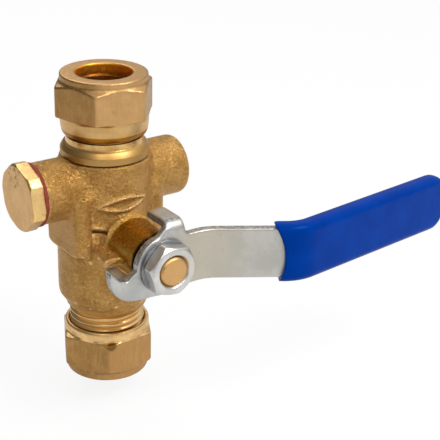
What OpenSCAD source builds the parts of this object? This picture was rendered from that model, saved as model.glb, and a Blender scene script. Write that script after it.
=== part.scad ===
// Lever shut-off valve with a drain point, compression ends for 15 mm pipe, shown closed.
// The pipe runs along z, the drain cross tube along x, and the stem comes out towards -y.
// The origin is the centre of the lower pipe hole, in the end face of the lower nut.

/* [Pipe run] */
// Outer diameter of the pipe that the valve joins
pipe_d = 15; // [13:0.5:15.5]
// Radial room around the pipe in nuts, olives and sockets
pipe_room = 0.1; // [0.05:0.01:0.2]
// Height of the stem's axis, which is the centre of the ball
stem_z = 42.8; // [41:0.2:44]
// Bore of the water way through the necks
waterway_d = 12.4; // [9:0.2:13]
// Depth of the pipe sockets, from the nut's end face to the pipe stop
socket_depth = 18; // [14:0.5:20]

/* [Compression joints] */
// Width of the nuts across their flats
nut_af = 24; // [23:0.5:27]
// Length of a nut
nut_h = 15.2; // [14.8:0.1:16]
// Diameter of the round collar at a nut's upper end
collar_d = 23.4; // [22.6:0.1:23.6]
// Height of that collar
collar_h = 1.7; // [0.8:0.1:2]
// Height from the hexagon's upper corners to the collar's foot
nut_chamfer_h = 1.85; // [1.2:0.05:2.2]
// Diameter of the round skirt at a nut's lower end
skirt_d = 23.6; // [22.6:0.1:23.8]
// Height of that skirt
skirt_h = 3.9; // [2.5:0.1:4.5]
// Turn of the upper nut's hexagon about the pipe axis
upper_nut_turn = 50; // [0:1:59]
// Turn of the lower nut's hexagon about the pipe axis
lower_nut_turn = 3; // [0:1:59]
// Outer diameter of the pipe threads on the necks
neck_thread_d = 20.96; // [20.6:0.02:21.4]
// Pitch of the neck threads
neck_pitch = 1.814; // [1.4:0.002:2]
// Distance from a nut's end face to the neck's end inside it
neck_inset = 7.6; // [7.2:0.1:8.4]
// Radial room between mating threads, drawn as plain cylinders
thread_room = 0.08; // [0.03:0.01:0.1]
// Outer diameter of an olive
olive_d = 17.6; // [17:0.1:18]
// Width of an olive
olive_w = 6.6; // [5.6:0.1:6.8]
// Depth of the dent in one corner of the lower nut
dent_depth = 1.1; // [0.4:0.1:1.4]

/* [End piece] */
// Gap between the upper nut and the ring below it
thread_gap = 2; // [1.5:0.1:2.4]
// Diameter of the ring below the thread
ring_d = 21.1; // [20.8:0.1:21.8]
// Height of that ring
ring_h = 1.3; // [1:0.1:1.6]
// Height of the cone from the ring to the flange
cone_h = 1.9; // [1.5:0.1:2.2]
// Diameter of the flange that bears on the body
flange_d = 24; // [23.2:0.1:24.4]
// Height of the flange's side
flange_h = 1.8; // [1.4:0.1:2.2]
// Outer diameter of the thread that screws into the body
end_thread_d = 21.4; // [20.6:0.1:21.6]
// Height of that thread
end_thread_h = 4.5; // [3.5:0.1:5]
// Outer diameter of the nose that holds the upper seat
nose_d = 18.8; // [18:0.1:19]
// Thickness of the joint ring under the flange
joint_ring_t = 0.35; // [0.2:0.05:0.6]
// Room around the flange in the flat that is cut into the drain tube for it
spot_room = 0.3; // [0.2:0.05:0.8]

/* [Body] */
// Distance from the stem's axis up to the top of the forged column, which carries the end piece
column_rise = 21.65; // [21:0.05:24]
// Diameter of the forged column above the ball housing
column_d = 24.8; // [24.4:0.1:25.6]
// Diameter of the ball housing
housing_d = 27.4; // [26.6:0.1:28.6]
// Height at which the housing reaches its full diameter
housing_bottom_z = 25.8; // [25:0.1:27]
// Height at which the housing's upper shoulder starts
housing_top_z = 47.3; // [46.6:0.1:48]
// Half length of the side pads along the cross tube
pad_reach = 13.8; // [13.5:0.1:14.4]
// Width of the side pads
pad_w = 16; // [14:0.2:16.4]
// Height of the side pads' lower edge
pad_bottom_z = 37.4; // [36:0.1:39]
// Diameter of the stem boss
boss_d = 14.6; // [14:0.1:15.4]
// Distance from the pipe axis to the stem boss's front face
boss_reach = 25.5; // [24:0.1:26]

/* [Drain tube] */
// Height of the drain tube's axis above the stem's axis
tube_rise = 14; // [13.4:0.1:15]
// Outer diameter of the drain tube
tube_d = 16.66; // [16:0.02:17.4]
// Reach of the tube's drain end from the pipe axis
tube_drain_reach = 21.6; // [20:0.1:24]
// Reach of the tube's blank end from the pipe axis
tube_blank_reach = 22.6; // [20:0.1:25]
// Rounding of the blank end's edge
blank_round = 1.4; // [0.8:0.1:4]
// Outer diameter of the drain plug's thread
plug_thread_d = 13.16; // [12.6:0.02:13.4]
// Length of the drain plug's thread
plug_thread_l = 8; // [6:0.1:8.4]
// Width of the drain plug's head across its flats
plug_af = 17; // [16:0.5:18]
// Thickness of the drain plug's head
plug_head_t = 3.8; // [3:0.1:6]
// Diameter to which the head's corners are turned down
plug_corner_d = 18.3; // [17.6:0.1:19.6]
// Turn of the drain plug's head about its axis
plug_turn = 48; // [0:1:59]
// Thickness of the fibre washer under the head
fibre_t = 1; // [0.6:0.1:1.6]
// Diameter of the fibre washer
fibre_d = 17.2; // [16.8:0.1:17.6]
// Diameter of the drain passage into the water way
drain_hole_d = 6; // [4:0.1:6.4]

/* [Ball and stem] */
// Diameter of the ball
ball_d = 19; // [18:0.1:19]
// Diameter of the hole through the ball
ball_port_d = 11; // [8:0.1:11.4]
// Room between the ball and its seats
ball_room = 0.04; // [0.02:0.01:0.1]
// Diameter of the stem where it turns in the boss
stem_d = 9; // [8.4:0.1:9.4]
// Running room around the stem
stem_room = 0.05; // [0.02:0.01:0.1]
// Diameter of the stem's inner collar
stem_collar_d = 11.2; // [10.6:0.1:11.2]
// Thickness of the stem's inner collar
stem_collar_t = 1.9; // [1.4:0.1:2]
// Thickness of the thrust washer on that collar
thrust_t = 0.8; // [0.5:0.05:0.9]
// Thread diameter of the stem's outer end
stem_end_d = 7.9; // [7.4:0.1:8.2]
// Width across the two flats that carry the lever
stem_flats = 6.3; // [5.6:0.1:6.8]
// Length of the stem that stands out of the lever nut
stem_proud = 0.2; // [0:0.05:1]
// Section diameter of the stem's seal rings
seal_ring_d = 1.18; // [1:0.02:1.2]
// Distance from the boss's front face back to the outer seal ring
outer_seal_depth = 4; // [3:0.1:4.5]
// Distance between the two seal rings
seal_pitch = 4.5; // [3.5:0.1:4.8]
// Width of the slot in the ball that the stem's tang turns
ball_slot_w = 4.1; // [3.6:0.1:4.5]

/* [Lever] */
// Thickness of the lever's steel strip
strip_t = 2.5; // [2:0.1:3]
// Width of the strip
strip_w = 14.3; // [12:0.1:16]
// Radius of the lever's hub
hub_r = 8.35; // [8:0.05:8.8]
// Gap between the stem boss and the lever's hub
hub_gap = 1.8; // [1.4:0.1:2.2]
// Distance from the stem's axis to the first bend
first_bend_x = 13.4; // [12:0.1:16]
// Distance from the stem's axis to the second bend
second_bend_x = 34.8; // [30:0.2:40]
// Angle by which the strip leans out between the bends
lean_out = 31.5; // [20:0.5:36]
// Angle by which the grip leans back after the second bend
lean_back = 6.3; // [0:0.1:10]
// Distance from the stem's axis to the end of the grip
grip_end_x = 93.5; // [80:0.5:110]
// Radius of the bends at the middle of the strip
bend_r = 11; // [6:0.5:12]
// Width of the grip sleeve
sleeve_w = 16.8; // [16.4:0.1:20]
// Wall of the grip sleeve over the strip's faces
sleeve_wall = 1.65; // [1.2:0.05:2.4]
// Rounding of the sleeve's far corners, seen from the front
sleeve_tip_r = 5.5; // [3:0.1:7]
// Rounding of the sleeve's long edges
sleeve_edge_r = 2.4; // [2.4:0.05:2.6]
// Depth of the hollow curve of the sleeve's mouth
mouth_hollow = 2.2; // [0.5:0.1:3]
// Thickness of the lock washer under the lever nut
lock_washer_t = 0.75; // [0.4:0.05:0.9]
// Diameter of that washer
lock_washer_d = 14.8; // [13:0.1:16]
// Width of the lever nut across its flats
lever_nut_af = 13; // [12:0.5:14]
// Thickness of the lever nut
lever_nut_t = 3.85; // [3:0.05:4.4]
// Turn of the lever nut about the stem
lever_nut_turn = 48; // [0:1:59]

/* [Stops] */
// Height of the stop lug's top above the stem's axis
lug_top = 0.45; // [0.2:0.05:0.5]
// Height of the stop lug
lug_h = 2.4; // [2:0.1:2.6]
// Reach of the stop lug sideways from the stem's axis
lug_side = 12.55; // [12.3:0.05:12.6]
// Distance from the pipe axis to the lug's front face
lug_reach = 20.5; // [19.6:0.1:21.5]
// Distance from the pipe axis to the back ends of the bent stop tabs
tab_reach = 19.2; // [18.6:0.1:20]
// Height of the upper stop tab's top above the stem's axis
tab_top = 11.7; // [11.4:0.1:12.4]
// Gap between a stop tab and the lug at either end of the lever's travel
stop_gap = 0.25; // [0.1:0.05:0.4]

/* [Hidden] */
$fn = 64;
overlap = 0.01;

brass = "#c8a060";
turned_brass = "#dcb878";
seal_white = "#f0f0ea";

pipe_hole_r = pipe_d / 2 + pipe_room;
nut_r = nut_af / 2 / cos(30);
neck_r = neck_thread_d / 2;
nut_thread_r = neck_r + thread_room;

// Slope of an olive's two tapers, which the nut's and the neck's cones repeat
olive_r = olive_d / 2;
olive_flat = 2.4;
olive_taper_l = (olive_w - olive_flat) / 2;
olive_edge_r = pipe_hole_r + 0.35;
olive_slope = (olive_r - olive_edge_r) / olive_taper_l;
olive_start = 3.5;
cone_room = 0.05;

body_top_z = stem_z + column_rise;
flange_z = body_top_z + joint_ring_t;
ring_bottom_z = flange_z + flange_h + cone_h;
ring_top_z = ring_bottom_z + ring_h;
overall_h = ring_top_z + thread_gap + nut_h;

ball_r = ball_d / 2;
cavity_r = ball_r + 0.1;
seat_inner_r = ball_port_d / 2 + 0.3;
seat_reach = ball_r + 0.05;
seat_inner_reach = 5.3;
waterway_r = waterway_d / 2;
nose_z = stem_z + seat_reach;

tube_z = stem_z + tube_rise;
tube_r = tube_d / 2;
plug_thread_r = plug_thread_d / 2;
plug_seat_x = -tube_drain_reach - fibre_t;

boss_r = boss_d / 2;
stem_r = stem_d / 2;
stem_end_r = stem_end_d / 2;
stem_collar_y = ball_r + 0.8;
thrust_y = stem_collar_y + stem_collar_t;
pocket_y = thrust_y + thrust_t + 0.05;
pocket_r = stem_collar_d / 2 + 0.1;
ball_slot_y = ball_r - 3;
seal_groove_w = 2;
seal_groove_r = stem_r - 1.2;
outer_seal_y = boss_reach - outer_seal_depth;
inner_seal_y = outer_seal_y - seal_pitch;

hub_back = boss_reach + hub_gap;
hub_reach = hub_back + strip_t;
shoulder_y = hub_back - 0.05;
lever_nut_y = hub_reach + lock_washer_t;
stem_reach = lever_nut_y + lever_nut_t + stem_proud;
ear_centre = [-8.4, -0.1];
ear_r = 7.85;
tab_bend_r = 0.6;
tab_bend_out = tab_bend_r + strip_t;
upper_tab_x = [lug_top + stop_gap, lug_top + stop_gap + 5.9];
lower_tab_x = [-lug_side + 0.85, -lug_side + 4];

// Revolves a half section, given as [radius, height] points, about the z axis
module turned(points) {
    rotate_extrude($fn = 96) polygon(points);
}

// Places a part whose own axis is z so that it points out along -y from the ball's centre
module along_stem() {
    translate([0, 0, stem_z]) rotate([90, 0, 0]) children();
}

// Places a part whose own axis is z so that it points along +x from the crossing of tube and pipe
module along_tube() {
    translate([0, 0, tube_z]) rotate([0, 90, 0]) children();
}

// Extrudes an outline, drawn as x and height above the stem, between two distances in front of the pipe
module stem_plate(near, far) {
    along_stem() translate([0, 0, near]) linear_extrude(far - near) children();
}

// Flat outline with rounded corners, half sizes a and b
module rounded_outline(a, b, r) {
    square([2 * a, 2 * (b - r)], center = true);
    square([2 * (a - r), 2 * b], center = true);
    for (x = [-1, 1], y = [-1, 1]) translate([x * (a - r), y * (b - r)]) circle(r);
}

// Outer shape of the forged body
module forging() {
    turned([[0, neck_inset], [neck_r, neck_inset], [neck_r, 20.3], [11.5, 21.4], [11.5, 22.3],
        [12.7, 23.3], [13.4, 24.5], [housing_d / 2, housing_bottom_z], [housing_d / 2, housing_top_z],
        [housing_d / 2 - 0.4, housing_top_z + 0.9], [column_d / 2, housing_top_z + 1.4],
        [column_d / 2, body_top_z - 0.4], [column_d / 2 - 0.4, body_top_z], [0, body_top_z]]);
    side_pads();
    drain_tube();
    along_stem() cylinder(h = boss_reach, r = boss_r);
    along_stem() cylinder(h = column_d / 2 + 1.2, r = boss_r + 0.9);
    stop_lug();
    lens_rib();
}

module side_pads() {
    corner_r = 3;
    edge_slope = 2.2;
    intersection() {
        translate([0, 0, pad_bottom_z]) linear_extrude(tube_z - pad_bottom_z)
            rounded_outline(pad_reach, pad_w / 2, corner_r);
        turned([[0, pad_bottom_z], [housing_d / 2 - 0.2, pad_bottom_z],
            [pad_reach + corner_r, pad_bottom_z + edge_slope + 1], [pad_reach + corner_r, tube_z],
            [0, tube_z]]);
    }
}

module drain_tube() {
    along_tube() {
        translate([0, 0, -tube_drain_reach]) cylinder(h = 0.5, r1 = tube_r - 0.5, r2 = tube_r);
        translate([0, 0, 0.5 - tube_drain_reach])
            cylinder(h = tube_drain_reach + tube_blank_reach - blank_round - 0.5, r = tube_r);
        cylinder(h = tube_blank_reach, r = tube_r - blank_round);
        translate([0, 0, tube_blank_reach - blank_round])
            rotate_extrude($fn = 96) translate([tube_r - blank_round, 0]) circle(blank_round, $fn = 48);
    }
}

// Lug on the body that the lever's two tabs meet at the ends of its quarter turn
module stop_lug() {
    taper = 3;
    root_y = 8;
    translate([0, 0, stem_z + lug_top - lug_h]) linear_extrude(lug_h)
        polygon([[-lug_side, -lug_reach], [-4, -lug_reach], [-4, -root_y], [taper - lug_side, -root_y]]);
}

// Outline with two round sides and two pointed ends
module lens(length, height) {
    r = (pow(length / 2, 2) + pow(height / 2, 2)) / height;
    intersection() {
        translate([0, height / 2 - r]) circle(r, $fn = 128);
        translate([0, r - height / 2]) circle(r, $fn = 128);
    }
}

// Raised lens outline on the front of the column
module lens_rib() {
    rib_w = 0.75;
    rib_h = 0.55;
    intersection() {
        stem_plate(5, housing_d) translate([-0.2, 10.4]) rotate(5) difference() {
            lens(14.6, 4.5);
            lens(14.6 - 4.6 * rib_w, 4.5 - 2 * rib_w);
        }
        cylinder(h = body_top_z, r = column_d / 2 + rib_h);
    }
}

// Grooves between the thread crests that show above the lower nut
module lower_thread_grooves() {
    depth = 0.75;
    for (i = [0:2]) {
        z = nut_h + 0.9 + i * neck_pitch;
        turned([[neck_r + 1, z - 0.8], [neck_r - depth, z - 0.15], [neck_r - depth, z + 0.15],
            [neck_r + 1, z + 0.8]]);
    }
}

// Mouth cone and pipe socket of a neck whose end is at height 0 and which runs upwards
module neck_socket() {
    mouth_r = olive_r + cone_room + (olive_start + olive_taper_l + olive_flat - neck_inset) * olive_slope;
    cone_l = (mouth_r - pipe_hole_r) / olive_slope;
    turned([[0, -1], [mouth_r, -1], [mouth_r, 0], [pipe_hole_r, cone_l],
        [pipe_hole_r, socket_depth - neck_inset], [0, socket_depth - neck_inset]]);
}

module valve_body() {
    slot_turn = 233;
    slot_w = 4.2;
    slot_h = 0.8;
    color(brass) difference() {
        forging();
        lower_thread_grooves();
        translate([0, 0, neck_inset]) neck_socket();
        cylinder(h = stem_z, r = waterway_r);
        translate([0, 0, stem_z - seat_reach]) cylinder(h = body_top_z, r = cavity_r);
        translate([0, 0, body_top_z - end_thread_h])
            cylinder(h = end_thread_h + 1, r = end_thread_d / 2 + thread_room);
        along_stem() cylinder(h = pocket_y, r = pocket_r);
        along_stem() cylinder(h = boss_reach + 1, r = stem_r + stem_room);
        along_tube() {
            translate([0, 0, -tube_drain_reach - 1])
                cylinder(h = plug_thread_l + 2, r = plug_thread_r + thread_room);
            translate([0, 0, -tube_drain_reach]) cylinder(h = tube_drain_reach, r = drain_hole_d / 2);
        }
        translate([0, 0, body_top_z]) cylinder(h = tube_r, r = flange_d / 2 + spot_room);
        rotate(slot_turn) translate([housing_d / 2 - 0.7, -slot_w / 2, housing_top_z - 0.7])
            cube([2, slot_w, slot_h]);
    }
}

// Screwed top end with the upper neck: its nose holds the upper seat against the ball
module end_piece() {
    groove_r = neck_r - 0.55;
    nose_r = nose_d / 2;
    neck_top_z = overall_h - neck_inset;
    nose_top_z = body_top_z - end_thread_h;
    drain_band_h = drain_hole_d + 0.6;
    color(turned_brass) difference() {
        turned([[waterway_r, nose_z], [nose_r, nose_z], [nose_r, tube_z - drain_band_h / 2],
            [nose_r - 1.5, tube_z - drain_band_h / 2], [nose_r - 1.5, nose_top_z + 0.1],
            [end_thread_d / 2, nose_top_z + 0.6], [end_thread_d / 2, flange_z],
            [flange_d / 2, flange_z], [flange_d / 2, flange_z + flange_h],
            [ring_d / 2, ring_bottom_z], [ring_d / 2, ring_top_z - 0.2], [ring_d / 2 - 0.2, ring_top_z],
            [groove_r, ring_top_z], [groove_r, ring_top_z + thread_gap - 0.1],
            [neck_r, ring_top_z + thread_gap + 0.45], [neck_r, neck_top_z - 0.4],
            [neck_r - 0.4, neck_top_z], [waterway_r, neck_top_z]]);
        translate([0, 0, neck_top_z]) mirror([0, 0, 1]) neck_socket();
        along_tube() cylinder(h = flange_d, r = drain_hole_d / 2, center = true);
    }
}

module joint_ring() {
    color("#3a2c1c") turned([[end_thread_d / 2 + 0.2, body_top_z], [flange_d / 2 - 0.6, body_top_z],
        [flange_d / 2 - 0.6, flange_z], [end_thread_d / 2 + 0.2, flange_z]]);
}

// Seat ring below the ball, hollowed to the ball's own curve
module seat() {
    color(seal_white) difference() {
        turned([[seat_inner_r, -seat_reach], [cavity_r - 0.05, -seat_reach],
            [cavity_r - 0.05, -seat_inner_reach], [seat_inner_r, -seat_inner_reach]]);
        sphere(ball_r + ball_room, $fn = 96);
    }
}

module lower_seat() {
    translate([0, 0, stem_z]) seat();
}

module upper_seat() {
    translate([0, 0, stem_z]) mirror([0, 0, 1]) seat();
}

// Ball turned to its closed place, with its hole across the pipe
module ball() {
    color("#d8d8d4") translate([0, 0, stem_z]) difference() {
        sphere(ball_r, $fn = 96);
        rotate([0, 90, 0]) cylinder(h = ball_d, r = ball_port_d / 2, center = true);
        translate([-ball_slot_w / 2, -ball_d, -ball_r]) cube([ball_slot_w, ball_d - ball_slot_y, ball_d]);
    }
}

module thrust_washer() {
    color(seal_white) along_stem() translate([0, 0, thrust_y]) difference() {
        cylinder(h = thrust_t, r = pocket_r - 0.1);
        translate([0, 0, -1]) cylinder(h = thrust_t + 2, r = stem_r + stem_room);
    }
}

module stem() {
    tang_w = ball_slot_w - 0.1;
    tang_l = 8;
    edge = 0.5;
    color(turned_brass) along_stem() {
        translate([-tang_w / 2, -tang_l / 2, ball_slot_y + 0.1])
            cube([tang_w, tang_l, stem_collar_y - ball_slot_y - 0.1 + overlap]);
        translate([0, 0, stem_collar_y]) cylinder(h = stem_collar_t, r = stem_collar_d / 2);
        difference() {
            turned([[0, stem_collar_y], [stem_r, stem_collar_y], [stem_r, shoulder_y],
                [stem_end_r, shoulder_y], [stem_end_r, stem_reach - edge], [stem_end_r - edge, stem_reach],
                [0, stem_reach]]);
            for (y = [inner_seal_y, outer_seal_y]) translate([0, 0, y - seal_groove_w / 2])
                turned([[seal_groove_r, 0], [stem_d, 0], [stem_d, seal_groove_w],
                    [seal_groove_r, seal_groove_w]]);
            for (side = [0, 180]) rotate(side) translate([-stem_d, stem_flats / 2, shoulder_y])
                cube([2 * stem_d, stem_d, hub_reach - shoulder_y]);
        }
    }
}

module seal_ring(y) {
    color("#202020") along_stem() translate([0, 0, y]) rotate_extrude($fn = 64)
        translate([stem_r - seal_ring_d / 2 + 0.03, 0]) circle(seal_ring_d / 2, $fn = 32);
}

module inner_seal_ring() {
    seal_ring(inner_seal_y);
}

module outer_seal_ring() {
    seal_ring(outer_seal_y);
}

// Middle line of the lever's strip, seen from above: along the hub, round the first bend, out, round the
// second bend and back along the grip
hub_mid = -hub_back - strip_t / 2;
first_tan = bend_r * tan(lean_out / 2);
second_tan = bend_r * tan((lean_out + lean_back) / 2);
slant_l = (second_bend_x - first_bend_x) / cos(lean_out);
function slant_point(s) = [first_bend_x + s * cos(lean_out), hub_mid - s * sin(lean_out)];
function grip_point(s) = slant_point(slant_l) + s * [cos(lean_back), sin(lean_back)];
function arc_points(centre, r, from, to) =
    [for (i = [0:6]) let (a = from + (to - from) * i / 6) centre + r * [cos(a), sin(a)]];
first_centre = [first_bend_x - first_tan, hub_mid - bend_r];
second_centre = grip_point(second_tan) + bend_r * [-sin(lean_back), cos(lean_back)];
grip_l = (grip_end_x - second_bend_x) / cos(lean_back);

// Outline of the strip, from a start on the slanted length to an end on the grip
function bent_outline(half, start, end) = concat(
    [slant_point(start) + half * [sin(lean_out), cos(lean_out)]],
    arc_points(second_centre, bend_r - half, 270 - lean_out, 270 + lean_back),
    [grip_point(end) + half * [-sin(lean_back), cos(lean_back)]],
    [grip_point(end) - half * [-sin(lean_back), cos(lean_back)]],
    arc_points(second_centre, bend_r + half, 270 + lean_back, 270 - lean_out),
    [slant_point(start) - half * [sin(lean_out), cos(lean_out)]]);
function hub_outline(half) = concat([[0, hub_mid + half]],
    arc_points(first_centre, bend_r + half, 90, 90 - lean_out),
    [slant_point(slant_l / 2) + half * [sin(lean_out), cos(lean_out)]],
    [slant_point(slant_l / 2) - half * [sin(lean_out), cos(lean_out)]],
    arc_points(first_centre, bend_r - half, 90 - lean_out, 90), [[0, hub_mid - half]]);

// Ear at the hub's lower left, with the notch that clears the stop lug
module lower_ear() {
    intersection() {
        translate(ear_centre) circle(ear_r, $fn = 96);
        polygon([[-17, 2.4], [-13.2, -1.3], [-11.2, -1.9], [-7.9, 0.6], [-4, 2], [2, -9], [-19, -9]]);
    }
}

module lever_front() {
    fold_z = tab_top - tab_bend_out;
    circle(hub_r, $fn = 96);
    lower_ear();
    polygon([[ear_centre[0], ear_centre[1] - ear_r], [-6.5, -8.2], [0, -hub_r], [0, -2],
        [ear_centre[0], -2.5]]);
    polygon([[-1.85, 7], [-1.85, 8.1], [upper_tab_x[0], 10.6], [upper_tab_x[0], fold_z],
        [upper_tab_x[1], fold_z], [upper_tab_x[1] + 0.6, 7], [0, 0]]);
}

// Stop tab folded back from the upper ear
module upper_tab() {
    width = upper_tab_x[1] - upper_tab_x[0];
    top_z = stem_z + tab_top;
    translate([upper_tab_x[0], tab_bend_out - hub_reach, top_z - tab_bend_out]) intersection() {
        rotate([0, 90, 0]) difference() {
            cylinder(h = width, r = tab_bend_out);
            translate([0, 0, -1]) cylinder(h = width + 2, r = tab_bend_r);
        }
        translate([-1, -2 * tab_bend_out, 0]) cube([width + 2, 2 * tab_bend_out, 2 * tab_bend_out]);
    }
    translate([upper_tab_x[0], tab_bend_out - hub_reach - overlap, top_z - strip_t])
        cube([width, hub_reach - tab_bend_out - tab_reach + overlap, strip_t]);
}

// Tab just under the lug, reaching back from the lower ear
module lower_tab() {
    translate([lower_tab_x[0], -hub_back - overlap, stem_z + lug_top - lug_h - stop_gap - strip_t])
        cube([lower_tab_x[1] - lower_tab_x[0], hub_back + overlap - tab_reach, strip_t]);
}

// Steel strip from a start on the slanted length to an end on the grip
module strip(start, end) {
    translate([0, 0, stem_z - strip_w / 2]) linear_extrude(strip_w)
        polygon(bent_outline(strip_t / 2, start, end));
}

module lever() {
    color("#b8bab4") difference() {
        union() {
            stem_plate(hub_back, hub_reach) lever_front();
            translate([0, 0, stem_z - strip_w / 2]) linear_extrude(strip_w)
                polygon(hub_outline(strip_t / 2));
            strip(slant_l / 2 - overlap, grip_l - 4);
            upper_tab();
            lower_tab();
        }
        stem_plate(hub_back - 1, hub_reach + 1) intersection() {
            circle(stem_end_r + 0.05);
            square([stem_d, stem_flats + 0.1], center = true);
        }
    }
}

// Rounded cross bar of the sleeve at one place on the grip, with the sleeve's height there
module sleeve_bar(place, lean, height) {
    half = strip_t / 2 + sleeve_wall;
    translate([place[0], place[1], stem_z]) rotate(lean) for (y = [-1, 1], z = [-1, 1])
        translate([0, y * (half - sleeve_edge_r), z * (height / 2 - sleeve_edge_r)])
            sphere(sleeve_edge_r, $fn = 24);
}

module grip_sleeve() {
    tip_run = sleeve_tip_r - sleeve_edge_r;
    mouth = slant_l * 0.83;
    mouth_r = (pow(sleeve_w / 2, 2) + pow(mouth_hollow, 2)) / (2 * mouth_hollow);
    before = slant_point(slant_l - 2.5);
    after = grip_point(2.5);
    color("#0a3c9c") difference() {
        union() {
            hull() {
                sleeve_bar(slant_point(mouth - 1), -lean_out, sleeve_w - 0.4);
                sleeve_bar(before, -lean_out, sleeve_w);
            }
            hull() {
                sleeve_bar(before, -lean_out, sleeve_w);
                sleeve_bar(after, lean_back, sleeve_w);
            }
            hull() {
                sleeve_bar(after, lean_back, sleeve_w);
                sleeve_bar(grip_point(grip_l - sleeve_edge_r - tip_run), lean_back, sleeve_w);
                sleeve_bar(grip_point(grip_l - sleeve_edge_r - 0.3 * tip_run), lean_back,
                    sleeve_w - 0.6 * tip_run);
                sleeve_bar(grip_point(grip_l - sleeve_edge_r), lean_back, sleeve_w - 2 * tip_run);
            }
        }
        strip(slant_l / 2, grip_l - 4);
        translate([slant_point(mouth - mouth_r)[0], slant_point(mouth - mouth_r)[1], stem_z])
            rotate([-90, 0, -lean_out]) cylinder(h = 20, r = mouth_r, center = true);
    }
}

module lock_washer() {
    color("#8c8c88") along_stem() translate([0, 0, hub_reach]) difference() {
        cylinder(h = lock_washer_t, r = lock_washer_d / 2);
        translate([0, 0, -1]) cylinder(h = lock_washer_t + 2, r = stem_end_r + 0.3);
    }
}

// Hexagon whose corners are turned down to a radius, with a chamfer round its outer face
module hex_head(af, corner_r, height, chamfer_h) {
    intersection() {
        cylinder(h = height, r = af / 2 / cos(30), $fn = 6);
        turned([[0, 0], [corner_r, 0], [corner_r, height - chamfer_h], [af / 2 - 0.2, height],
            [0, height]]);
    }
}

module lever_nut() {
    mouth = 0.35;
    thread_r = stem_end_r + thread_room;
    color("#b4b6b0") along_stem() rotate(lever_nut_turn) translate([0, 0, lever_nut_y]) difference() {
        hex_head(lever_nut_af, lever_nut_af / 2 / cos(30) + 0.1, lever_nut_t, 0.9);
        translate([0, 0, -1]) cylinder(h = lever_nut_t + 2, r = thread_r);
        translate([0, 0, lever_nut_t - mouth])
            cylinder(h = mouth + overlap, r1 = thread_r, r2 = thread_r + mouth + overlap);
    }
}

// Outside of a nut, standing on its skirt
module nut_blank() {
    skirt_edge = 0.5;
    collar_edge = 0.4;
    hex_top = nut_h - collar_h;
    translate([0, 0, skirt_edge]) cylinder(h = skirt_h, r = skirt_d / 2);
    cylinder(h = skirt_edge, r1 = skirt_d / 2 - skirt_edge, r2 = skirt_d / 2);
    intersection() {
        translate([0, 0, skirt_h]) cylinder(h = nut_h - skirt_h, r = nut_r, $fn = 6);
        turned([[0, skirt_h], [nut_r + 0.1, skirt_h], [nut_r + 0.1, hex_top - nut_chamfer_h],
            [nut_af / 2 + 0.1, hex_top - 0.5 * nut_chamfer_h], [collar_d / 2, hex_top], [0, hex_top]]);
    }
    translate([0, 0, skirt_h]) cylinder(h = nut_h - collar_edge - skirt_h, r = collar_d / 2);
    translate([0, 0, nut_h - collar_edge])
        cylinder(h = collar_edge, r1 = collar_d / 2, r2 = collar_d / 2 - collar_edge);
}

// Inside of a nut whose pipe hole opens at height 0 and whose thread opens at the far end
module nut_inside() {
    cone_start = olive_start + olive_taper_l - (olive_r + cone_room - pipe_hole_r) / olive_slope;
    cone_end = olive_start + olive_taper_l;
    thread_start = neck_inset - 0.4;
    turned([[0, -1], [pipe_hole_r, -1], [pipe_hole_r, cone_start],
        [olive_r + cone_room, cone_end], [olive_r + cone_room, thread_start], [nut_thread_r, thread_start],
        [nut_thread_r, nut_h - 0.4], [nut_thread_r + 0.4, nut_h], [nut_thread_r + 1.4, nut_h + 1],
        [0, nut_h + 1]]);
}

module upper_nut() {
    color(brass) translate([0, 0, overall_h - nut_h]) difference() {
        rotate(upper_nut_turn) nut_blank();
        translate([0, 0, nut_h]) mirror([0, 0, 1]) nut_inside();
    }
}

module lower_nut() {
    dent_turn = 240 + lower_nut_turn + 3;
    dent_r = 0.9;
    color(brass) difference() {
        rotate(lower_nut_turn) nut_blank();
        nut_inside();
        rotate(dent_turn) translate([nut_r + dent_r - dent_depth, 4, nut_h - collar_h - nut_chamfer_h])
            rotate([90, 0, 0]) cylinder(h = 8, r = dent_r);
    }
}

module olive() {
    turned([[pipe_hole_r, 0], [olive_edge_r, 0], [olive_r, olive_taper_l],
        [olive_r, olive_taper_l + olive_flat], [olive_edge_r, olive_w], [pipe_hole_r, olive_w]]);
}

module upper_olive() {
    color("#d09048") translate([0, 0, overall_h - olive_start - olive_w]) olive();
}

module lower_olive() {
    color("#d09048") translate([0, 0, olive_start]) olive();
}

module fibre_washer() {
    color("#98301c") along_tube() translate([0, 0, plug_seat_x]) difference() {
        cylinder(h = fibre_t, r = fibre_d / 2);
        translate([0, 0, -1]) cylinder(h = fibre_t + 2, r = plug_thread_r + 0.3);
    }
}

module drain_plug() {
    tip_edge = 0.8;
    head_edge = 0.4;
    root = plug_head_t / 2;
    color(turned_brass) along_tube() {
        translate([0, 0, plug_seat_x]) rotate(plug_turn) mirror([0, 0, 1])
            hex_head(plug_af, plug_corner_d / 2, plug_head_t, head_edge);
        translate([0, 0, plug_seat_x - root])
            cylinder(h = root + fibre_t + plug_thread_l - tip_edge, r = plug_thread_r);
        translate([0, 0, plug_thread_l - tube_drain_reach - tip_edge])
            cylinder(h = tip_edge, r1 = plug_thread_r, r2 = plug_thread_r - tip_edge);
    }
}

valve_body();
end_piece();
joint_ring();
lower_seat();
upper_seat();
ball();
thrust_washer();
stem();
inner_seal_ring();
outer_seal_ring();
lever();
grip_sleeve();
lock_washer();
lever_nut();
upper_olive();
upper_nut();
lower_olive();
lower_nut();
fibre_washer();
drain_plug();
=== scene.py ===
import math

import bmesh
import bpy
from mathutils import Matrix, Vector


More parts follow.
